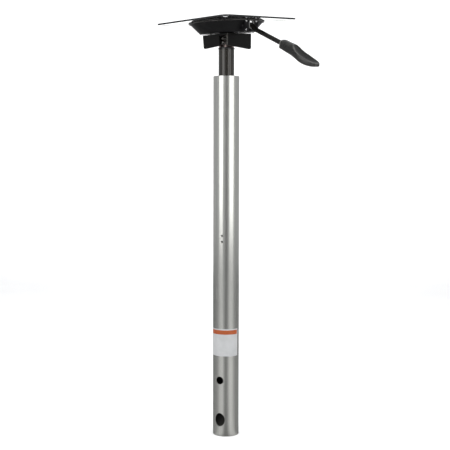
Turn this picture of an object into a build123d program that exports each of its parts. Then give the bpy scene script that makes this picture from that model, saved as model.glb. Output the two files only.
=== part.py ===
from build123d import *
import math
import os

os.makedirs("parts", exist_ok=True)

# Gas-lift boat seat pedestal.
# Origin: centre of the post's bottom end, +Z up, release lever along +X,
# front of the seat plate along +Y. All dimensions in mm, at rest = lowest height.

# ---------------------------------------------------------------- dimensions
tube_od = 46.5            # outer tube
tube_wall = 2.4
tube_len = 642.8
tube_id = tube_od - 2 * tube_wall

hole_dir = math.degrees(math.atan2(-0.954, 0.30))    # locking holes, direction round the post
round_hole_d = 14.0
round_hole_z = 101.2
oval_hole_w = 18.8
oval_hole_h = 24.0
oval_hole_z = 29.9

dimple_dir = math.degrees(math.atan2(-0.8926, 0.4509))  # stakes that hold the base plug
dimple_d = 4.4
dimple_depth = 1.9
dimple_z = (350.3, 361.0)

label_lo, label_hi = 145.4, 194.2      # foil label
label_start, label_sweep = -139.0, 156.0
label_t = 0.12

bush_lo, bush_hi = 562.0, 641.8        # guide bushing in the tube's mouth
plug_lo, plug_hi = 345.0, 366.0        # base plug
stem_d = 8.0                           # turned-down end of the piston rod
race_t = 2.5
race_od = 26.0
ball_d = 4.0
ball_pcd = 18.0
ball_count = 12

rod_d = 10.0
rod_top = 606.0
cyl_od = 28.0
cyl_wall = 2.0
cyl_lo = 391.0
cyl_shoulder = 692.8
taper_top = 711.0
taper_d0, taper_d1 = 27.0, 26.2
stroke = 160.0

head_z = 736.56                        # seat plate's underside at the post's axis
rake = 3.3                             # plate tilt about X, front edge up
plate_side = 177.8
plate_t = 3.0
plate_corner_r = 10.0
slot_r_in, slot_r_out = 78.0, 115.0    # diagonal bolt slots, ends measured from the centre
slot_w = 8.5
dish_r_top = 66.0
dish_r_bot = 47.0
dish_depth = 19.6
dish_t = 2.0

brk_top = -21.0                        # lower bracket, in the plate's tilted frame
brk_t = 3.0
brk_half = 31.0
spacer_r = 13.0

pivot_x, pivot_zl = 36.0, -8.6         # lever pivot, in the plate's tilted frame
way_z, way_h, way_w = -8.5, 14.6, 10.4 # slot the lever passes through: centre height, height, width
rod_r = 4.0
rod_x0, rod_z0, rod_fall = 75.4, -20.0, 25.3   # the rod's outer run passes through this point


def rod_z(x):
    return rod_z0 - (x - rod_x0) * math.tan(math.radians(rod_fall))


made = {}


def save(shape, name, label=None):
    shape.label = label or name
    made[name] = shape
    export_step(shape, f"parts/{name}.step")


def zcyl(r, z0, z1, x=0.0, y=0.0):
    return Pos(x, y, (z0 + z1) / 2) * Cylinder(r, z1 - z0)


def ring(ro, ri, z0, z1, x=0.0, y=0.0):
    return zcyl(ro, z0, z1, x, y) - zcyl(ri, z0 - 1, z1 + 1, x, y)


def radial(angle, z, r0, r1):
    # frame whose Z axis points outward from the post at this angle and height
    a = math.radians(angle)
    return Plane(origin=(r0 * math.cos(a), r0 * math.sin(a), z),
                 x_dir=(-math.sin(a), math.cos(a), 0), z_dir=(math.cos(a), math.sin(a), 0)), r1 - r0


head = Location((0, 0, head_z), (rake, 0, 0))   # tilted frame of the seat plate

# ---------------------------------------------------------------- fixed post
tube = ring(tube_od / 2, tube_id / 2, 0, tube_len)
tube = chamfer(tube.edges().filter_by(GeomType.CIRCLE), 0.4)
pl, ln = radial(hole_dir, round_hole_z, 10, 30)
tube -= extrude(pl * Circle(round_hole_d / 2), ln)
pl, ln = radial(hole_dir, oval_hole_z, 10, 30)
tube -= extrude(pl * Ellipse(oval_hole_w / 2, oval_hole_h / 2), ln)
for dz in dimple_z:
    # conical punch mark
    pl, ln = radial(dimple_dir, dz, tube_od / 2 - dimple_depth, tube_od / 2 + 0.4)
    tube -= pl.location * Pos(0, 0, ln / 2) * Cone(0.25, 0.25 + (dimple_d / 2 - 0.25) * ln / dimple_depth, ln)
save(tube, "outer_tube")

# label wrapped part of the way round the tube
lab = ring(tube_od / 2 + 0.02 + label_t, tube_od / 2 + 0.02, label_lo, label_hi)
sector = Pos(0, 0, label_lo - 1) * extrude(
    Sketch() + make_face(Polyline([(0, 0)] + [
        (60 * math.cos(math.radians(label_start + label_sweep * i / 24)),
         60 * math.sin(math.radians(label_start + label_sweep * i / 24))) for i in range(25)] + [(0, 0)])),
    label_hi - label_lo + 2)
save(lab & sector, "post_label")

bush = ring(tube_id / 2 - 0.05, cyl_od / 2 + 0.06, bush_lo, bush_hi)
bush = chamfer(bush.edges().filter_by(GeomType.CIRCLE), 0.8)
save(bush, "guide_bushing")

plug = ring(tube_id / 2 - 0.05, stem_d / 2 + 0.05, plug_lo, plug_hi)
for dz in dimple_z:
    # round groove that the stakes press into
    plug -= ring(tube_id / 2 + 1, tube_id / 2 - 1.2, dz - 2.2, dz + 2.2)
save(plug, "base_plug")

z = plug_hi
lower = ring(race_od / 2, stem_d / 2 + 0.3, z, z + race_t)
save(lower, "lower_race")

# ---------------------------------------------------------------- turning column
zb = z + race_t + ball_d / 2 + 0.02
balls = []
cage = ring(race_od / 2 - 0.5, stem_d / 2 + 0.4, zb - 0.6, zb + 0.6)
for i in range(ball_count):
    a = 2 * math.pi * i / ball_count
    p = (ball_pcd / 2 * math.cos(a), ball_pcd / 2 * math.sin(a), zb)
    balls.append(Pos(*p) * Sphere(ball_d / 2))
    cage -= Pos(*p) * Sphere(ball_d / 2 + 0.12)
save(Compound(children=balls), "bearing_balls")
save(cage, "ball_cage")
zr = zb + ball_d / 2 + 0.02
save(ring(race_od / 2, stem_d / 2 + 0.02, zr, zr + race_t), "upper_race")
seat = zr + race_t

rod = zcyl(rod_d / 2, seat, rod_top - 14) + zcyl(stem_d / 2, plug_lo - 7, seat + 1) + zcyl(3.5, rod_top - 14, rod_top + 4)
rod -= ring(6, 3.2, plug_lo - 4.2, plug_lo - 2.8)
save(rod, "piston_rod")
clip = ring(7.0, 3.22, plug_lo - 4.1, plug_lo - 2.9)
clip -= Pos(0, -6, plug_lo - 3.5) * Box(4.6, 12, 3)
save(clip, "retaining_clip")
save(ring(8.5, stem_d / 2 + 0.1, plug_lo - 2.7, plug_lo - 0.3), "clip_washer")
bump = ring(12.0, rod_d / 2 + 0.02, seat, cyl_lo - 0.6)
bump = fillet(bump.edges().filter_by(GeomType.CIRCLE), 1.5)
save(bump, "bump_stop")

pist = ring(cyl_od / 2 - cyl_wall - 0.05, 3.5, rod_top - 14, rod_top)
pist -= ring(20, 9.4, rod_top - 8.6, rod_top - 5.4)
save(pist, "piston")
save(ring(cyl_od / 2 - cyl_wall - 0.04, 9.45, rod_top - 8.5, rod_top - 5.5), "piston_seal")
nut = extrude(Pos(0, 0, rod_top + 0.02) * RegularPolygon(6.5, 6), 3.6) - zcyl(3.52, rod_top - 1, rod_top + 9)
save(nut, "piston_nut")

# ---------------------------------------------------------------- rising column
cyl = ring(cyl_od / 2, cyl_od / 2 - cyl_wall, cyl_lo, cyl_shoulder - 6)
top = zcyl(cyl_od / 2, cyl_shoulder - 6.2, cyl_shoulder) - zcyl(9, cyl_shoulder - 9, cyl_shoulder + 1)
cone = Pos(0, 0, (cyl_shoulder + taper_top) / 2) * Cone(taper_d0 / 2, taper_d1 / 2, taper_top - cyl_shoulder)
cone -= zcyl(9, cyl_shoulder - 1, taper_top + 1)
cyl = cyl + top + cone
save(cyl, "pressure_tube")
save(ring(14.65, cyl_od / 2 + 0.01, 690.1, 692.6), "cylinder_collar")

save(ring(cyl_od / 2 - cyl_wall - 0.02, rod_d / 2 + 0.05, cyl_lo + 1, cyl_lo + 16), "rod_guide")
save(ring(cyl_od / 2 - cyl_wall - 0.02, rod_d / 2 + 0.04, cyl_lo + 16.1, cyl_lo + 20), "rod_seal")
valve = zcyl(8.98, cyl_shoulder - 22, taper_top - 0.5) - zcyl(3.05, cyl_shoulder - 20, taper_top + 1)
valve += ring(cyl_od / 2 - cyl_wall - 0.03, 8, cyl_shoulder - 22, cyl_shoulder - 8)
save(valve, "valve_body")

# tapered hub with two rolled beads
hub_lo, hub_hi = 697.0, 711.6


def taper_r(zz):
    return taper_d0 / 2 + (taper_d1 - taper_d0) / 2 * (zz - cyl_shoulder) / (taper_top - cyl_shoulder) + 0.03


with BuildSketch(Plane.XZ) as hs:
    with BuildLine():
        Polyline([(taper_r(hub_lo), hub_lo), (14.9, hub_lo), (15.2, hub_lo + 0.6)])
        ThreePointArc((15.2, hub_lo + 0.6), (15.9, 701.0), (15.1, 704.3))
        ThreePointArc((15.1, 704.3), (15.9, 707.8), (15.2, 711.0))
        Polyline([(15.2, 711.0), (15.0, hub_hi), (taper_r(hub_hi), hub_hi), (taper_r(hub_lo), hub_lo)])
    make_face()
save(revolve(hs.sketch, Axis.Z), "taper_hub")

# ---------------------------------------------------------------- head, in the tilted frame
# seat plate: flat square with a round opening, welded round the rim of the dish below it
slot_len = slot_r_out - slot_r_in
fold = (dish_r_top - dish_r_bot) / dish_depth          # how much the dish widens per mm of height
hole_r = dish_r_top - 3.0
plate = extrude(RectangleRounded(plate_side, plate_side, plate_corner_r), plate_t)
plate -= zcyl(hole_r, -1, plate_t + 1)
for k in range(4):
    ang = 45 + 90 * k
    a = math.radians(ang)
    rm = (slot_r_in + slot_r_out) / 2
    plate -= Pos(rm * math.cos(a), rm * math.sin(a), -1) * Rot(0, 0, ang) * extrude(SlotOverall(slot_len, slot_w), plate_t + 2)
save(head * plate, "seat_plate")

# round dish: flat floor, 45 degree wall, small folds, rim against the plate's underside
with BuildSketch(Plane.XZ) as ds:
    with BuildLine():
        Polyline([(0, 0), (dish_r_top, 0), (dish_r_bot, -dish_depth), (0, -dish_depth), (0, 0)])
    make_face()
outer_form = revolve(ds.sketch, Axis.Z)
side = dish_t / math.cos(math.atan(fold))              # wall thickness measured level
r_lip = dish_r_top - side
r_floor = dish_r_bot + fold * dish_t - side
with BuildSketch(Plane.XZ) as di:
    with BuildLine():
        Polyline([(0, 0.01), (r_lip + 0.01 * fold, 0.01), (r_floor, -dish_depth + dish_t), (0, -dish_depth + dish_t), (0, 0.01)])
    make_face()
inner_form = revolve(di.sketch, Axis.Z)
dish = outer_form - inner_form
e = [x for x in dish.edges().filter_by(GeomType.CIRCLE) if abs(x.center().Z + dish_depth) < 0.01 and abs(x.radius - dish_r_bot) < 0.5]
dish = fillet(e, 3.6)
# opening for the valve pin and the way out for the lever rod
dish -= zcyl(7.0, -dish_depth - 1, -dish_depth + dish_t + 1)
dish -= Pos(57, 0, way_z) * Rot(0, 90, 0) * extrude(SlotOverall(way_h, way_w), 16, both=True)
# flat window where the lever guide closes the dish wall
dish -= Pos(58.98 + 10, 0, -0.02 - 9.5) * Box(20, 2 * 16.52, 19.0)
dish &= Pos(0, 0, -50.01) * Box(400, 400, 100)
save(head * dish, "support_dish")

# spacer between dish and bracket
save(head * ring(spacer_r, 7.0, brk_top + 0.02, -dish_depth - 0.02), "hub_spacer")

# lower bracket: square top with two deep folded walls on the -Y and +X sides, each a little deeper at its far end
btop = head * extrude(Pos(0, 0, brk_top - brk_t) * RectangleRounded(2 * brk_half, 2 * brk_half, 2.6), brk_t)
wy_pts = [(-29.5, brk_top - 1), (12.0, brk_top - 1), (12.0, -41.8), (-28.4, -44.6)]     # x, z in the tilted frame
wx_pts = [(-28.2, brk_top - 1), (29.4, brk_top - 1), (28.0, -48.3), (-29.6, -41.6)]     # y, z
wy = extrude(Plane.XZ.offset(brk_half - brk_t) * make_face(Polyline(*wy_pts, wy_pts[0])), brk_t)
wy = fillet(wy.edges().filter_by(Axis.Y).sort_by(Axis.Z)[0], 3.6)
wx = extrude(Plane.YZ.offset(brk_half - brk_t) * make_face(Polyline(*wx_pts, wx_pts[0])), brk_t)
wx = fillet(wx.edges().filter_by(Axis.X).sort_by(Axis.Z)[0], 3.6)
wy, wx = head * wy, head * wx
lipy = head * (Pos(0, brk_half - brk_t / 2, brk_top - 4.5) * Box(48.0, brk_t, 9.0))
lipx = head * (Pos(-brk_half + brk_t / 2, 0, brk_top - 4.5) * Box(brk_t, 48.0, 9.0))
brk = btop + wy + wx + lipy + lipx
brk -= head * zcyl(7.0, brk_top - brk_t - 1, brk_top + 1)
save(brk, "hub_bracket")

# lever guide: vertical plate on the +X side of the dish with two cheeks
gx = 60.0
gw = 16.5
face = Pos(gx, 0, -10.3) * Box(2.0, 2 * gw, 20.2)
cheeks = Pos(gx - 6, gw - 0.75, -10.3) * Box(12, 1.5, 20.2) + Pos(gx - 6, 0.75 - gw, -10.3) * Box(12, 1.5, 20.2)
guide = face + (cheeks - outer_form)
guide -= Pos(gx, 0, way_z) * Rot(0, 90, 0) * extrude(SlotOverall(way_h, way_w), 6, both=True)
save(head * guide, "lever_guide")
riv = []
for sy in (-1, 1):
    for yy, zz in ((12.2, -2.4), (13.2, -17.4)):
        r1 = Pos(gx + 1.0 + 0.7, sy * yy, zz) * Rot(0, 90, 0) * Cylinder(1.9, 1.36)
        r1 = fillet(r1.edges().filter_by(GeomType.CIRCLE).sort_by(Axis.X)[-1], 0.6)
        riv.append(head * r1)
save(Compound(children=riv), "guide_rivets")

# plastic bush lining the lever's way out
bushing = Pos(gx + 1.02, 0, way_z) * Rot(0, 90, 0) * extrude(SlotOverall(way_h + 1.4, way_w + 1.4), 1.0)
bushing += Pos(gx - 1.0, 0, way_z) * Rot(0, 90, 0) * extrude(SlotOverall(way_h - 0.1, way_w - 0.1), 2.5)
bushing -= Pos(gx, 0, way_z) * Rot(0, 90, 0) * extrude(SlotOverall(way_h - 1.6, way_w - 1.6), 6, both=True)
save(head * bushing, "guide_bush")

# clevis for the pivot inside the dish, welded on the dish floor
zf = -dish_depth + dish_t
clev = Pos(33, 0, zf + 0.77) * Box(20, 26, 1.5)
for sy in (-1, 1):
    cheek = Pos(pivot_x - 1, sy * (13 - 0.75), zf + 7.0) * Box(14, 1.5, 13.9)
    cheek = fillet(cheek.edges().filter_by(Axis.Y).group_by(Axis.Z)[-1], 4.5)
    clev += cheek
clev -= Pos(pivot_x, 0, pivot_zl) * Rot(90, 0, 0) * Cylinder(2.55, 60)
clev -= zcyl(60, zf - 5, zf + 0.02)
save(head * clev, "pivot_clevis")
pin = Pos(pivot_x, 0, pivot_zl) * Rot(90, 0, 0) * Cylinder(2.5, 30)
save(head * pin, "pivot_pin")
nuts = []
for sy in (-1, 1):
    nuts.append(head * (Pos(pivot_x, sy * 13.9, pivot_zl) * Rot(90, 0, 0) * (Cylinder(4.2, 1.2) - Cylinder(2.52, 3))))
save(Compound(children=nuts), "push_nuts")

# ---------------------------------------------------------------- lever, in the tilted frame
# rod: level inside the dish, through the guide, then down and outward to the grip
with BuildLine() as path:
    FilletPolyline([(-5.0, 0, pivot_zl), (61.0, 0, pivot_zl), (72.0, 0, rod_z(72.0)), (140.0, 0, rod_z(140.0))], radius=7)
prof_pl = Plane(origin=path.line @ 0, z_dir=path.line % 0)
lever = sweep(prof_pl * Circle(rod_r), path=path.line)
lever += Pos(pivot_x, 0, pivot_zl) * Rot(90, 0, 0) * Cylinder(5.6, 20)
lever -= Pos(pivot_x, 0, pivot_zl) * Rot(90, 0, 0) * Cylinder(2.56, 60)
save(head * lever, "lever_rod")

# grip: sleeve, neck and dished blade, lofted through sections along a curved spine
sections = [
    # x, z, tilt of the spine (deg below level), width, thickness
    (132.7, -47.6, 25.3, 16.2, 16.2),
    (141.8, -51.6, 25.3, 17.4, 17.0),
    (150.4, -55.6, 27.5, 18.4, 17.8),
    (158.8, -59.8, 32.0, 20.0, 17.8),
    (167.0, -65.2, 36.5, 23.5, 15.6),
    (174.4, -70.6, 35.0, 27.8, 12.8),
    (182.2, -76.0, 30.0, 30.0, 11.6),
    (191.0, -80.6, 23.0, 28.5, 11.0),
    (199.4, -83.8, 17.0, 23.0, 10.2),
    (204.8, -85.4, 13.0, 16.5, 8.8),
    (208.2, -86.2, 10.0, 9.5, 6.4),
]
faces = []
for x, zz, tl, w, t in sections:
    a = math.radians(tl)
    pln = Plane(origin=(x, 0, zz), x_dir=(0, 1, 0), z_dir=(math.cos(a), 0, -math.sin(a)))
    faces.append(pln * RectangleRounded(w, t, min(w, t) * 0.36))
grip = loft(faces)
grip = fillet(grip.faces().sort_by(Axis.X)[-1].edges(), 2.0)
# dished thumb rest on the blade
thumb_x, thumb_z, thumb_ring, thumb_r = 211.6, -28.2, 39.3, 17.0
grip -= Pos(thumb_x, 0, thumb_z) * Rot(90, 0, 0) * Torus(thumb_ring, thumb_r)


def on_thumb(p):
    return abs(math.hypot(math.hypot(p.X - thumb_x, p.Z - thumb_z) - thumb_ring, p.Y) - thumb_r) < 0.02


grip = fillet([e for e in grip.edges() if on_thumb(e @ 0.5) and on_thumb(e @ 0.23)], 1.2)
grip -= Plane(origin=path.line @ 1, z_dir=path.line % 1).location * Pos(0, 0, -9) * Cylinder(rod_r + 0.02, 22)
save(head * grip, "lever_grip")

# valve pin under the lever rod
save(zcyl(3.0, cyl_shoulder - 15, 723.7), "valve_pin")

for k, v in made.items():
    bb = v.bounding_box()
    print(k, len(v.solids()), "vol", round(v.volume / 1000, 2), "valid", v.is_valid if isinstance(v.is_valid, bool) else v.is_valid(),
          [round(t, 1) for t in (*bb.min, *bb.max)])
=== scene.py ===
import math
import random

import bpy
from mathutils import Matrix, Vector


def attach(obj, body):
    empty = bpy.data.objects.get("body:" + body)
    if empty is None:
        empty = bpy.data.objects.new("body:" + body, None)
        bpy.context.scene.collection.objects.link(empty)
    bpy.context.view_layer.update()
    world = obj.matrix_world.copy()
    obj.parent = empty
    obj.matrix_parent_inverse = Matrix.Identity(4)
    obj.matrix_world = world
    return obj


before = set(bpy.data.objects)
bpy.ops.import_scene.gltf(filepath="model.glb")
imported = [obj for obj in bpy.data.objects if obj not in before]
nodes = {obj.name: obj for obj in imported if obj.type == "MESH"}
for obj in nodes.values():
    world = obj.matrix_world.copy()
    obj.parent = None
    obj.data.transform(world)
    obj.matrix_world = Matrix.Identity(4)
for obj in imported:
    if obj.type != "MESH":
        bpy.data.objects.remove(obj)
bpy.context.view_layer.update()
random.seed(7)
scene = bpy.context.scene

# ------------------------------------------------------------------ node helpers


class Mat:
    """A node material built step by step."""

    def __init__(self, name):
        self.m = bpy.data.materials.new(name)
        self.m.use_nodes = True
        self.t = self.m.node_tree
        self.n = self.t.nodes
        self.b = self.n["Principled BSDF"]
        self.tc = self.n.new("ShaderNodeTexCoord")

    def link(self, a, b):
        self.t.links.new(a, b)

    def set(self, **kw):
        for k, v in kw.items():
            self.b.inputs[k.replace("_", " ")].default_value = v
        return self

    def mapped(self, scale, rot=(0, 0, 0), loc=(0, 0, 0)):
        mp = self.n.new("ShaderNodeMapping")
        mp.inputs["Scale"].default_value = scale
        mp.inputs["Rotation"].default_value = rot
        mp.inputs["Location"].default_value = loc
        self.link(self.tc.outputs["Object"], mp.inputs["Vector"])
        return mp.outputs["Vector"]

    def noise(self, scale, detail=3.0, rough=0.5, stretch=(1, 1, 1), distortion=0.0, loc=(0, 0, 0)):
        nz = self.n.new("ShaderNodeTexNoise")
        nz.inputs["Scale"].default_value = scale
        nz.inputs["Detail"].default_value = detail
        nz.inputs["Roughness"].default_value = rough
        nz.inputs["Distortion"].default_value = distortion
        self.link(self.mapped(stretch, loc=loc), nz.inputs["Vector"])
        return nz.outputs["Fac"]

    def ramp(self, fac, stops, interp="LINEAR"):
        r = self.n.new("ShaderNodeValToRGB")
        cr = r.color_ramp
        cr.interpolation = interp
        while len(cr.elements) < len(stops):
            cr.elements.new(0.5)
        for e, (p, c) in zip(cr.elements, stops):
            e.position = p
            e.color = c if len(c) == 4 else (*c, 1)
        self.link(fac, r.inputs["Fac"])
        return r.outputs["Color"]

    def math(self, op, a, b=None, c=None, clamp=False):
        m = self.n.new("ShaderNodeMath")
        m.operation = op
        m.use_clamp = clamp
        for i, v in enumerate((a, b, c)):
            if v is None:
                continue
            if isinstance(v, (int, float)):
                m.inputs[i].default_value = v
            else:
                self.link(v, m.inputs[i])
        return m.outputs[0]

    def remap(self, v, a, b, c, d):
        r = self.n.new("ShaderNodeMapRange")
        for k, x in (("From Min", a), ("From Max", b), ("To Min", c), ("To Max", d)):
            r.inputs[k].default_value = x
        self.link(v, r.inputs["Value"])
        return r.outputs["Result"]

    def mix(self, fac, a, b):
        m = self.n.new("ShaderNodeMix")
        m.data_type = "RGBA"
        for sock, v in ((m.inputs[0], fac), (m.inputs[6], a), (m.inputs[7], b)):
            if isinstance(v, (int, float)):
                sock.default_value = v
            elif isinstance(v, tuple):
                sock.default_value = v if len(v) == 4 else (*v, 1)
            else:
                self.link(v, sock)
        return m.outputs[2]

    def xyz(self):
        s = self.n.new("ShaderNodeSeparateXYZ")
        self.link(self.tc.outputs["Object"], s.inputs[0])
        return s.outputs

    def point(self):
        g = self.n.new("ShaderNodeNewGeometry")
        return g.outputs["Pointiness"]

    def bump(self, height, strength, distance=0.0005, after=None):
        b = self.n.new("ShaderNodeBump")
        b.inputs["Strength"].default_value = strength
        b.inputs["Distance"].default_value = distance
        self.link(height, b.inputs["Height"])
        if after is not None:
            self.link(after, b.inputs["Normal"])
        return b.outputs["Normal"]

    def to(self, name, out):
        self.link(out, self.b.inputs[name])
        return self


def tube_metal():
    m = Mat("anodised_tube").set(Metallic=1.0, IOR=1.45)
    streak = m.noise(1.0, 4, 0.6, stretch=(900, 900, 3.0))
    fine = m.noise(1.0, 2, 0.5, stretch=(2600, 2600, 14.0))
    cloud = m.noise(9.0, 3, 0.55)
    both = m.math("ADD", m.math("MULTIPLY", streak, 0.65), m.math("MULTIPLY", cloud, 0.35))
    x, y, z = m.xyz()
    r = m.math("SQRT", m.math("ADD", m.math("MULTIPLY", x, x), m.math("MULTIPLY", y, y)))
    painted_bore_shade = m.remap(r, 0.0221, 0.0229, 1.0, 0.0)        # painted shade: darker and rougher inside the tube, its holes and punch marks
    ends = m.math("MULTIPLY", m.math("LESS_THAN", z, 0.6420), m.math("GREATER_THAN", z, 0.0008))
    painted_bore_shade = m.math("MULTIPLY", painted_bore_shade, ends, clamp=True)
    outside = m.ramp(both, [(0.25, (0.455, 0.456, 0.432)), (0.75, (0.505, 0.506, 0.480))])
    m.to("Base Color", m.mix(painted_bore_shade, outside, (0.085, 0.085, 0.078)))
    m.to("Roughness", m.math("ADD", m.remap(both, 0.3, 0.7, 0.20, 0.29), m.math("MULTIPLY", painted_bore_shade, 0.25)))
    n = m.bump(streak, 0.10, 0.00004)
    m.to("Normal", m.bump(fine, 0.12, 0.00003, after=n))
    return m.m


def gloss_black(name, tint=(0.0035, 0.0035, 0.004), rough=(0.07, 0.13), coat=0.0, peel=0.10, spec=0.12):
    m = Mat(name).set(Metallic=0.0, Coat_Weight=coat, Coat_Roughness=0.05, Specular_IOR_Level=spec)
    big = m.noise(38.0, 3, 0.5)
    orange = m.noise(420.0, 2, 0.5)
    speck = m.noise(1600.0, 1, 0.5)
    dust = m.ramp(speck, [(0.70, (0, 0, 0)), (0.78, (1, 1, 1))])
    edge = m.ramp(m.point(), [(0.56, (0, 0, 0)), (0.66, (1, 1, 1))])
    wear = m.math("MULTIPLY", edge, m.remap(m.noise(150.0, 4, 0.7), 0.45, 0.62, 0.0, 1.0), clamp=True)
    col = m.mix(m.math("MULTIPLY", wear, 0.35), tint, (0.09, 0.09, 0.092))
    col = m.mix(m.math("MULTIPLY", dust, 0.10), col, (0.10, 0.10, 0.10))
    m.to("Base Color", col)
    m.to("Roughness", m.remap(big, 0.35, 0.65, rough[0], rough[1]))
    m.to("Normal", m.bump(orange, peel, 0.00012))
    return m.m


def dish_black():
    """Satin wall, and a flat bottom that the press has left smoother."""
    m = Mat("dish_black").set(Metallic=0.0, Specular_IOR_Level=0.12)
    big = m.noise(38.0, 3, 0.5)
    orange = m.noise(420.0, 2, 0.5)
    x, y, z = m.xyz()
    t = math.radians(3.3)
    zl = m.math("SUBTRACT", m.math("MULTIPLY", m.math("ADD", z, -0.73656), math.cos(t)), m.math("MULTIPLY", y, math.sin(t)))
    flat = m.remap(zl, -0.01955, -0.0193, 1.0, 0.0)
    cloud = m.ramp(m.noise(150.0, 4, 0.7), [(0.3, (0.0034, 0.0034, 0.0038)), (0.7, (0.0052, 0.0052, 0.0055))])
    m.to("Base Color", cloud)
    satin = m.remap(big, 0.35, 0.65, 0.30, 0.42)
    m.to("Roughness", m.math("SUBTRACT", satin, m.math("MULTIPLY", flat, 0.13)))
    m.to("Normal", m.bump(orange, 0.08, 0.00012))
    return m.m


def cylinder_black():
    m = Mat("cylinder_black").set(Coat_Weight=0.45, Coat_Roughness=0.09, Specular_IOR_Level=0.38)
    turn = m.noise(1.0, 3, 0.5, stretch=(6, 6, 2200))
    cloud = m.noise(26.0, 3, 0.5)
    x, y, z = m.xyz()
    bare = m.math("GREATER_THAN", z, 0.6929)           # unpainted taper above the shoulder
    black = m.ramp(cloud, [(0.3, (0.011, 0.009, 0.006)), (0.7, (0.018, 0.015, 0.010))])
    m.to("Base Color", m.mix(bare, black, (0.40, 0.31, 0.29)))
    m.to("Metallic", m.remap(bare, 0.0, 1.0, 0.30, 1.0))
    m.to("Roughness", m.remap(cloud, 0.3, 0.7, 0.20, 0.30))
    m.to("Normal", m.bump(turn, 0.10, 0.00004))
    return m.m


def steel(name, base=(0.62, 0.62, 0.63), rough=(0.16, 0.30)):
    m = Mat(name).set(Metallic=1.0)
    scr = m.noise(700.0, 4, 0.65)
    cloud = m.noise(90.0, 3, 0.6)
    m.to("Base Color", m.ramp(cloud, [(0.3, tuple(c * 0.86 for c in base)), (0.7, base)]))
    m.to("Roughness", m.remap(cloud, 0.3, 0.7, rough[0], rough[1]))
    m.to("Normal", m.bump(scr, 0.10, 0.00004))
    return m.m


def plastic(name, base, rough=(0.35, 0.5), grain=900.0, depth=0.15):
    m = Mat(name).set(Specular_IOR_Level=0.5)
    tex = m.noise(grain, 3, 0.6)
    cloud = m.noise(60.0, 3, 0.5)
    m.to("Base Color", m.ramp(cloud, [(0.3, tuple(c * 0.88 for c in base)), (0.7, base)]))
    m.to("Roughness", m.remap(cloud, 0.3, 0.7, rough[0], rough[1]))
    m.to("Normal", m.bump(tex, depth, 0.00008))
    return m.m


def label_film():
    m = Mat("label_foil").set(Metallic=0.0, Specular_IOR_Level=0.3, Coat_Weight=0.12, Coat_Roughness=0.2)
    x, y, z = m.xyz()
    ang = m.math("ARCTAN2", y, x)                      # radians round the post
    a1 = math.radians(17.0 - 4.0)
    inside_a = m.math("LESS_THAN", ang, a1)
    band = m.math("MULTIPLY", m.math("LESS_THAN", z, 0.1922), m.math("GREATER_THAN", z, 0.1845))
    band = m.math("MULTIPLY", band, inside_a)
    mott = m.noise(500.0, 3, 0.6)
    cloud = m.noise(60.0, 2, 0.5)
    white = m.ramp(cloud, [(0.3, (0.370, 0.375, 0.380)), (0.7, (0.430, 0.435, 0.440))])
    orange = m.ramp(mott, [(0.3, (0.25, 0.054, 0.014)), (0.7, (0.36, 0.076, 0.018))])
    m.to("Base Color", m.mix(band, white, orange))
    m.to("Roughness", m.remap(cloud, 0.3, 0.7, 0.30, 0.42))
    m.to("Normal", m.bump(mott, 0.06, 0.00004))
    return m.m


def grip_plastic():
    """Moulded black plastic, with a painted highlight that makes its edges pale and smooth, and painted shade in its
    hollows.
    """
    m = Mat("grip_plastic").set(Metallic=0.0, Specular_IOR_Level=0.30)
    big = m.noise(60.0, 3, 0.5)
    grain = m.noise(520.0, 3, 0.6)
    # painted highlight: convex edges lightened toward pale grey and made smoother
    edge = m.ramp(m.point(), [(0.508, (0, 0, 0)), (0.545, (1, 1, 1))])
    painted_highlight = m.math("MULTIPLY", edge, m.remap(big, 0.30, 0.60, 0.65, 1.0), clamp=True)
    base = m.ramp(grain, [(0.3, (0.0075, 0.0075, 0.0070)), (0.7, (0.0125, 0.0125, 0.0115))])
    # painted shade: concave hollows darkened toward near-black
    painted_hollow_shade = m.ramp(m.point(), [(0.470, (1, 1, 1)), (0.498, (0, 0, 0))])
    base = m.mix(painted_hollow_shade, base, (0.0030, 0.0030, 0.0028))
    m.to("Base Color", m.mix(painted_highlight, base, (0.270, 0.266, 0.250)))
    m.to("Roughness", m.math("SUBTRACT", m.remap(big, 0.35, 0.65, 0.26, 0.36), m.math("MULTIPLY", painted_highlight, 0.08)))
    m.to("Normal", m.bump(grain, 0.12, 0.00010))
    return m.m


def bracket_black():
    """Satin black sheet; the sawn end of the deeper wall is lightened by a painted highlight."""
    m = Mat("bracket_black").set(Specular_IOR_Level=0.12)
    big = m.noise(38.0, 3, 0.5)
    grain = m.noise(420.0, 2, 0.5)
    x, y, z = m.xyz()
    # painted highlight: a thin strip at the sawn end of the deeper wall is lightened
    end = m.math("MULTIPLY", m.math("LESS_THAN", m.math("ABSOLUTE", m.math("ADD", y, 0.02703)), 0.00055),
                 m.math("GREATER_THAN", x, 0.0275))
    painted_highlight = m.math("MULTIPLY", end, m.remap(m.noise(260.0, 3, 0.6), 0.35, 0.6, 0.35, 1.0), clamp=True)
    m.to("Base Color", m.mix(painted_highlight, (0.0040, 0.0040, 0.0038), (0.075, 0.072, 0.066)))
    m.to("Roughness", m.remap(big, 0.35, 0.65, 0.30, 0.42))
    m.to("Normal", m.bump(grain, 0.10, 0.00012))
    return m.m


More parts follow.
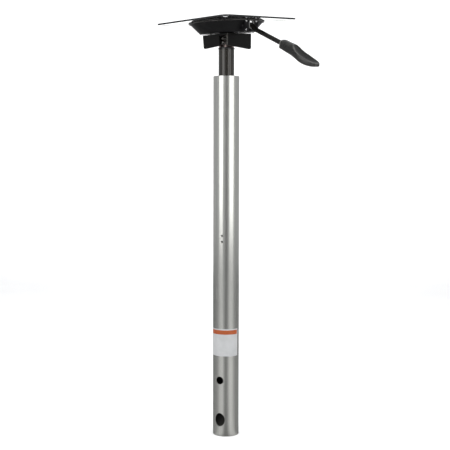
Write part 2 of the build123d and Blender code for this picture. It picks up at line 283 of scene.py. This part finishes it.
def hub_black():
    """Gloss black collar, with two pale spots painted on its beads as highlights."""
    m = Mat("hub_black").set(Specular_IOR_Level=0.5)
    big = m.noise(60.0, 3, 0.5)
    fine = m.noise(500.0, 2, 0.5)
    x, y, z = m.xyz()
    # painted highlight: two pale glints painted on the beads
    spots = None
    for sx, sy, sz in ((0.0056, -0.0149, 0.7078), (0.0056, -0.0149, 0.7010)):
        dx = m.math("ADD", x, -sx)
        dy = m.math("ADD", y, -sy)
        dz = m.math("ADD", z, -sz)
        d2 = m.math("ADD", m.math("ADD", m.math("MULTIPLY", dx, dx), m.math("MULTIPLY", dy, dy)), m.math("MULTIPLY", dz, dz))
        one = m.remap(m.math("SQRT", d2), 0.0010, 0.0024, 1.0, 0.0)
        spots = one if spots is None else m.math("ADD", spots, one, clamp=True)
    painted_glints = m.math("MULTIPLY", spots, m.remap(m.noise(800.0, 3, 0.6), 0.3, 0.5, 0.55, 1.0), clamp=True)
    m.to("Base Color", m.mix(painted_glints, (0.012, 0.009, 0.007), (0.40, 0.39, 0.37)))
    m.to("Roughness", m.remap(big, 0.35, 0.65, 0.16, 0.24))
    m.to("Normal", m.bump(fine, 0.10, 0.00010))
    return m.m


def weld_painted_highlight():
    m = Mat("weld_black").set(Specular_IOR_Level=0.5)
    big = m.noise(120.0, 3, 0.6)
    fine = m.noise(900.0, 2, 0.5)
    # painted highlight: base colour lifted well above the paint black so the seam line round the dish reads bright
    m.to("Base Color", m.ramp(big, [(0.3, (0.022, 0.021, 0.020)), (0.7, (0.050, 0.048, 0.045))]))
    m.to("Roughness", m.remap(big, 0.3, 0.7, 0.22, 0.36))
    m.to("Normal", m.bump(fine, 0.15, 0.00010))
    return m.m


M = {
    "tube": tube_metal(),
    "black": gloss_black("head_black", rough=(0.30, 0.42), peel=0.10, spec=0.10),
    "dish": dish_black(),
    "plate": gloss_black("plate_black", rough=(0.07, 0.12), peel=0.06, spec=0.50),
    "hub": hub_black(),
    "bracket": bracket_black(),
    "weld": weld_painted_highlight(),
    "lever": gloss_black("lever_black", tint=(0.006, 0.006, 0.005), rough=(0.18, 0.28), peel=0.14, spec=0.3),
    "grip": grip_plastic(),
    "cyl": cylinder_black(),
    "collar": plastic("collar_black", (0.012, 0.012, 0.012), (0.25, 0.4)),
    "zinc": steel("rivet_zinc", (0.80, 0.80, 0.80), (0.10, 0.20)),
    "race": steel("race_steel"),
    "rod": steel("rod_chrome", (0.72, 0.72, 0.73), (0.05, 0.10)),
    "acetal": plastic("acetal", (0.020, 0.020, 0.020), (0.4, 0.55)),
    "nylon": plastic("cage_nylon", (0.62, 0.60, 0.52)),
    "bush": plastic("bush_grey", (0.20, 0.20, 0.195), (0.3, 0.45)),
    "rubber": plastic("black_rubber", (0.016, 0.016, 0.016), (0.6, 0.8), 600.0, 0.3),
    "label": label_film(),
}
use = {
    "outer_tube": "tube", "post_label": "label", "guide_bushing": "acetal", "base_plug": "acetal",
    "lower_race": "race", "bearing_balls": "race", "ball_cage": "nylon", "upper_race": "race",
    "piston_rod": "rod", "retaining_clip": "race", "clip_washer": "race", "bump_stop": "rubber",
    "piston": "race", "piston_seal": "rubber", "piston_nut": "race", "pressure_tube": "cyl",
    "cylinder_collar": "collar", "rod_guide": "acetal", "rod_seal": "rubber", "valve_body": "race",
    "valve_pin": "race", "taper_hub": "hub", "seat_plate": "plate", "support_dish": "dish", "hub_spacer": "black",
    "hub_bracket": "bracket", "lever_guide": "black", "guide_rivets": "zinc", "guide_bush": "bush",
    "pivot_clevis": "black", "pivot_pin": "zinc", "push_nuts": "zinc", "lever_rod": "lever",
    "lever_grip": "grip",
}
for n, o in nodes.items():
    o.data.materials.clear()
    o.data.materials.append(M[use[n]])

# ------------------------------------------------------------------ directions of the photo
AZ = math.radians(46.046)
back = Vector((math.sin(AZ), -math.cos(AZ), 0))
right = Vector((math.cos(AZ), math.sin(AZ), 0))
up = Vector((0, 0, 1))


def around(alpha_deg, dist, z):
    """A point at this angle from the camera's direction, positive to the right in the picture."""
    a = math.radians(alpha_deg)
    return back * (math.cos(a) * dist) + right * (math.sin(a) * dist) + up * z


# ------------------------------------------------------------------ weld beads
HEAD = Matrix.Translation((0, 0, 0.73656)) @ Matrix.Rotation(math.radians(3.3), 4, "X")


def bead(name, radius, z, thick, matrix, body, seg=220, ring=10, step=0.0021, a0=0.0, a1=360.0, flat=1.0):
    """A rippled weld bead round a circle, or along part of it."""
    verts, faces = [], []
    closed = a1 - a0 >= 360.0
    rows = seg if closed else seg + 1
    rnd = random.Random(name)
    off = [rnd.uniform(-1, 1) for _ in range(rows)]
    for i in range(rows):
        a = math.radians(a0 + (a1 - a0) * i / seg)
        run = radius * (a - math.radians(a0))
        ripple = abs(math.sin(math.pi * run / step))
        t = thick * (0.86 + 0.16 * ripple + 0.05 * off[i])
        if not closed:
            t *= min(1.0, 0.35 + 12.0 * min(i, seg - i) / seg)
        for k in range(ring):
            b_ = 2 * math.pi * k / ring
            rr = radius + t * math.cos(b_)
            verts.append((rr * math.cos(a), rr * math.sin(a), z + t * flat * math.sin(b_)))
    for i in range(seg):
        j = (i + 1) % rows
        for k in range(ring):
            k2 = (k + 1) % ring
            faces.append((i * ring + k, j * ring + k, j * ring + k2, i * ring + k2))
    if not closed:
        faces.append(tuple(range(ring)))
        faces.append(tuple(reversed(range((rows - 1) * ring, rows * ring))))
    me = bpy.data.meshes.new(name)
    me.from_pydata(verts, [], faces)
    me.update()
    me.polygons.foreach_set("use_smooth", [True] * len(me.polygons))
    o = bpy.data.objects.new(name, me)
    scene.collection.objects.link(o)
    o.matrix_world = matrix
    me.materials.append(M["weld"])
    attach(o, body)
    return o


bead("dish_seam", 0.0664, -0.0008, 0.0009, HEAD, "head", seg=600, a0=0.0, a1=360.0)
bead("hub_weld", 0.0158, -0.0245, 0.0011, HEAD, "head", seg=200)

# ------------------------------------------------------------------ floor and cove
def cove(name, r_flat=2.6, r_wall=3.9, wall_top=3.2, seg=96):
    prof = [(0.0, 0.0), (0.6, 0.0), (1.4, 0.0), (r_flat, 0.0)]
    for i in range(1, 13):
        t = i / 12 * math.pi / 2
        rr = r_wall - r_flat
        prof.append((r_flat + rr * math.sin(t), rr * (1 - math.cos(t))))
    prof.append((r_wall, wall_top))
    verts, faces = [(0, 0, 0)], []
    rings = prof[1:]
    for r, z in rings:
        for k in range(seg):
            a = 2 * math.pi * k / seg
            verts.append((r * math.cos(a), r * math.sin(a), z))
    for k in range(seg):
        faces.append((0, 1 + k, 1 + (k + 1) % seg))
    for j in range(len(rings) - 1):
        for k in range(seg):
            a, b = 1 + j * seg + k, 1 + j * seg + (k + 1) % seg
            faces.append((a, a + seg, b + seg, b))
    me = bpy.data.meshes.new(name)
    me.from_pydata(verts, [], faces)
    me.polygons.foreach_set("use_smooth", [True] * len(me.polygons))
    o = bpy.data.objects.new(name, me)
    scene.collection.objects.link(o)
    m = Mat(name)
    m.set(Specular_IOR_Level=0.2)
    spots = m.noise(6.0, 3, 0.5)
    m.to("Base Color", m.ramp(spots, [(0.3, (0.87, 0.87, 0.87)), (0.7, (0.89, 0.89, 0.89))]))
    m.to("Roughness", m.remap(spots, 0.3, 0.7, 0.75, 0.85))
    m.to("Normal", m.bump(m.noise(300.0, 2, 0.5), 0.05, 0.0002))
    me.materials.append(m.m)
    o.location.z = -0.0004
    return o


floor = cove("floor")
floor.visible_glossy = False


def reflected_floor(name, r_in=0.0, r_out=2.7, seg=120):
    """What the metal sees of the floor: pale where the two softboxes stand, greyer between and beside them."""
    rr = [0.02, 0.3, 0.8, 1.6, r_out]
    verts, faces = [], []
    for r in rr:
        for k in range(seg):
            a = 2 * math.pi * k / seg
            verts.append((r * math.cos(a), r * math.sin(a), 0.0))
    for j in range(len(rr) - 1):
        for k in range(seg):
            a, b_ = j * seg + k, j * seg + (k + 1) % seg
            faces.append((a, a + seg, b_ + seg, b_))
    me = bpy.data.meshes.new(name)
    me.from_pydata(verts, [], faces)
    o = bpy.data.objects.new(name, me)
    scene.collection.objects.link(o)
    m = Mat(name)
    x, y, z = m.xyz()
    cam_a = math.atan2(back.y, back.x)
    # angle from the camera's direction, positive to the right in the picture, as 0..1
    rx = m.math("ADD", m.math("MULTIPLY", x, back.x), m.math("MULTIPLY", y, back.y))
    ry = m.math("ADD", m.math("MULTIPLY", x, right.x), m.math("MULTIPLY", y, right.y))
    ang = m.math("ADD", m.math("DIVIDE", m.math("ARCTAN2", ry, rx), 2 * math.pi), 0.5)

    def g(v):
        return (v, v, v)

    def at(deg):
        return deg / 360 + 0.5

    stops = [(at(-150), g(0.18)), (at(-75), g(0.31)), (at(-55), g(0.53)), (at(-28), g(0.59)), (at(-8), g(0.21)),
             (at(10), g(0.21)), (at(32), g(0.63)), (at(55), g(0.60)), (at(80), g(0.26)), (at(150), g(0.25))]
    m.to("Base Color", m.ramp(ang, stops))
    m.set(Roughness=0.9, Specular_IOR_Level=0.1)
    me.materials.append(m.m)
    o.location.z = 0.0008
    for flag in ("visible_camera", "visible_diffuse", "visible_shadow", "visible_transmission"):
        setattr(o, flag, False)
    return o


reflected_floor("reflected_floor")


def card(name, centre, w, h, albedo):
    """A plain grey card beside the camera, seen only in reflections."""
    me = bpy.data.meshes.new(name)
    me.from_pydata([(-w / 2, -h / 2, 0), (w / 2, -h / 2, 0), (w / 2, h / 2, 0), (-w / 2, h / 2, 0)], [], [(0, 1, 2, 3)])
    o = bpy.data.objects.new(name, me)
    scene.collection.objects.link(o)
    o.location = centre
    d = (Vector((0, 0, centre.z)) - centre).normalized()
    o.rotation_mode = "QUATERNION"
    o.rotation_quaternion = d.to_track_quat("Z", "Y")
    m = Mat(name)
    v = m.noise(20.0, 2, 0.5)
    m.to("Base Color", m.ramp(v, [(0.3, (albedo,) * 3), (0.7, (albedo * 1.05,) * 3)]))
    m.set(Roughness=0.9)
    me.materials.append(m.m)
    o.visible_camera = False
    o.visible_shadow = False
    return o


card("grey_card", around(4.0, 2.35, 1.1), 0.80, 2.4, 0.28)


def softbox(name, centre, target, w, h, radiance, spread=None):
    li = bpy.data.lights.new(name, "AREA")
    li.shape = "RECTANGLE"
    li.size, li.size_y = w, h
    li.energy = radiance * math.pi * w * h
    o = bpy.data.objects.new(name, li)
    scene.collection.objects.link(o)
    o.location = centre
    o.rotation_mode = "QUATERNION"
    o.rotation_quaternion = (target - centre).normalized().to_track_quat("-Z", "Y")
    o.visible_camera = False
    if spread:
        li.spread = math.radians(spread)
    return o


softbox("soft_left", around(-45.5, 1.45, 1.12), Vector((0, 0, 1.12)), 0.91, 1.7, 2.5)
softbox("soft_right", around(47.0, 1.45, 1.12), Vector((0, 0, 1.12)), 1.00, 1.7, 2.6)
softbox("soft_top", Vector((0, 0, 2.6)), Vector((0, 0, 0)), 2.4, 2.4, 2.95).visible_glossy = False
softbox("soft_back", around(180, 1.9, 1.9), around(180, 3.9, 0.3), 2.4, 0.8, 2.1, spread=90)
softbox("back_card", around(180, 3.0, 0.62), Vector((0, 0, 0.62)), 1.0, 0.8, 1.9)

world = bpy.data.worlds.new("studio")
scene.world = world
world.use_nodes = True
world.node_tree.nodes["Background"].inputs["Color"].default_value = (0.92, 0.93, 0.95, 1)
world.node_tree.nodes["Background"].inputs["Strength"].default_value = 0.66

# ------------------------------------------------------------------ camera
f_px, img = 985.9071, 450.0
pitch, roll, cx = 0.0715, 0.0017, 226.1232
yaw = math.atan((cx - img / 2) / f_px)
bk = back * math.cos(yaw) + right * math.sin(yaw)
rt = right * math.cos(yaw) - back * math.sin(yaw)
b = bk * math.cos(pitch) + up * math.sin(pitch)
u = up * math.cos(pitch) - bk * math.sin(pitch)
r2 = rt * math.cos(roll) + u * math.sin(roll)
u2 = u * math.cos(roll) - rt * math.sin(roll)
cam_data = bpy.data.cameras.new("camera")
cam_data.sensor_width = 36.0
cam_data.lens = 36.0 * f_px / img
cam_data.dof.use_dof = False
cam = bpy.data.objects.new("camera", cam_data)
scene.collection.objects.link(cam)
rot = Matrix((r2, u2, b)).transposed()
cam.matrix_world = Matrix.Translation(back * 1.7605791 + up * 0.5049378) @ rot.to_4x4()
scene.camera = cam
scene.view_settings.view_transform = "Standard"
